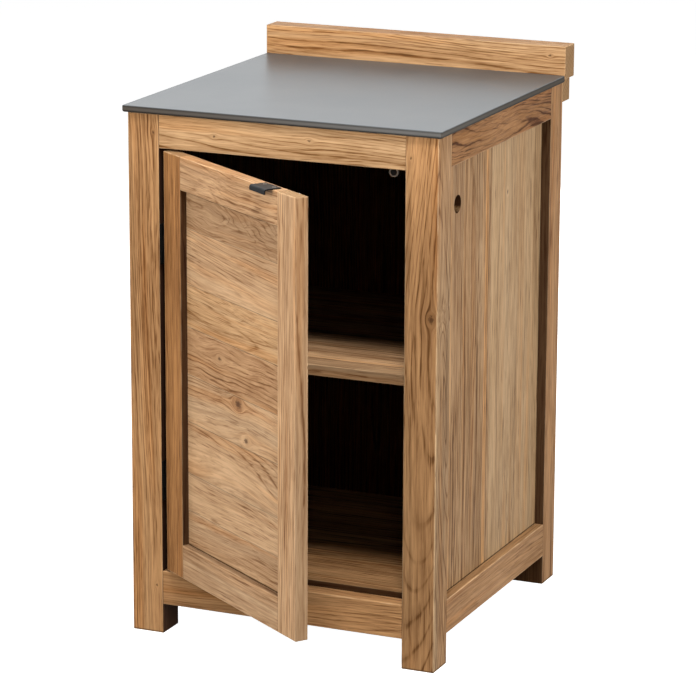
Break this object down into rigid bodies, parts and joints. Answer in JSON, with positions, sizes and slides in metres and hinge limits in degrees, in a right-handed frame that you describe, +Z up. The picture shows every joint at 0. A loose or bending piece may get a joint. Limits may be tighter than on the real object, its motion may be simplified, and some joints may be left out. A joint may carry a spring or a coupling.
{
  "type": "outdoor kitchen base cabinet",
  "caption": "Teak outdoor kitchen cabinet with a framed door, shelf, grey stone worktop and splash board; the door stands ajar.",
  "frame": {"origin": "middle of the bounding box at the floor, under the cabinet's feet", "axes": "+Z up, +X to the right seen from the front, -Y out of the door opening to the front"},
  "size_m": [0.596, 0.8928, 1.006],
  "materials": {
    "teak_frame": "oiled teak, satin",
    "teak_side_boards": "oiled teak, satin",
    "teak_inside": "oiled teak, satin",
    "teak_splash": "oiled teak, satin",
    "teak_door_frame": "oiled teak, satin",
    "teak_door_boards": "oiled teak, satin",
    "worktop_stone": "matt stone-look porcelain",
    "black_metal": "black powder coat, satin",
    "nickel": "nickel plated",
    "screw_steel": "stainless steel"
  },
  "bodies": {
    "cabinet": {"front_left_post": "teak_frame", "front_right_post": "teak_frame", "rear_left_post": "teak_frame", "rear_right_post": "teak_frame", "front_top_rail": "teak_frame", "front_bottom_rail": "teak_frame", "rear_top_rail": "teak_frame", "rear_bottom_rail": "teak_frame", "left_top_rail": "teak_frame", "left_bottom_rail": "teak_frame", "right_top_rail": "teak_frame", "right_bottom_rail": "teak_frame", "left_side_board_1": "teak_side_boards", "left_side_board_2": "teak_side_boards", "left_side_board_3": "teak_side_boards", "left_side_board_4": "teak_side_boards", "right_side_board_1": "teak_side_boards", "right_side_board_2": "teak_side_boards", "right_side_board_3": "teak_side_boards", "right_side_board_4": "teak_side_boards", "back_panel": "teak_inside", "shelf_panel": "teak_inside", "floor_panel": "teak_inside", "left_shelf_cleat": "teak_inside", "right_shelf_cleat": "teak_inside", "left_floor_cleat": "teak_inside", "right_floor_cleat": "teak_inside", "worktop_slab": "worktop_stone", "splash_board": "teak_splash", "splash_batten": "teak_splash", "hinge_lower_frame_leaf": "black_metal", "hinge_upper_frame_leaf": "black_metal", "hinge_pins": "black_metal", "catch_plate": "black_metal", "catch_cup": "black_metal", "catch_magnet": "nickel", "frame_screws": "screw_steel", "cleat_screws": "screw_steel", "splash_screws": "screw_steel"},
    "door": {"hinge_lower_door_leaf": "black_metal", "hinge_upper_door_leaf": "black_metal", "door_hinge_stile": "teak_door_frame", "door_free_stile": "teak_door_frame", "door_top_rail": "teak_door_frame", "door_bottom_rail": "teak_door_frame", "door_panel_board_1": "teak_door_boards", "door_panel_board_2": "teak_door_boards", "door_panel_board_3": "teak_door_boards", "door_panel_board_4": "teak_door_boards", "door_panel_board_5": "teak_door_boards", "door_panel_board_6": "teak_door_boards", "door_panel_board_7": "teak_door_boards", "door_panel_board_8": "teak_door_boards", "door_pull": "black_metal", "door_strike": "nickel", "door_screws": "screw_steel"}
  },
  "joints": [
    {"name": "door_hinge", "type": "hinge", "parent": "cabinet", "child": "door", "pos_m": [-0.2275, -0.18806, 0.498], "axis": [0, 0, -1], "range_deg": [-35.3, 134.7]}
  ]
}
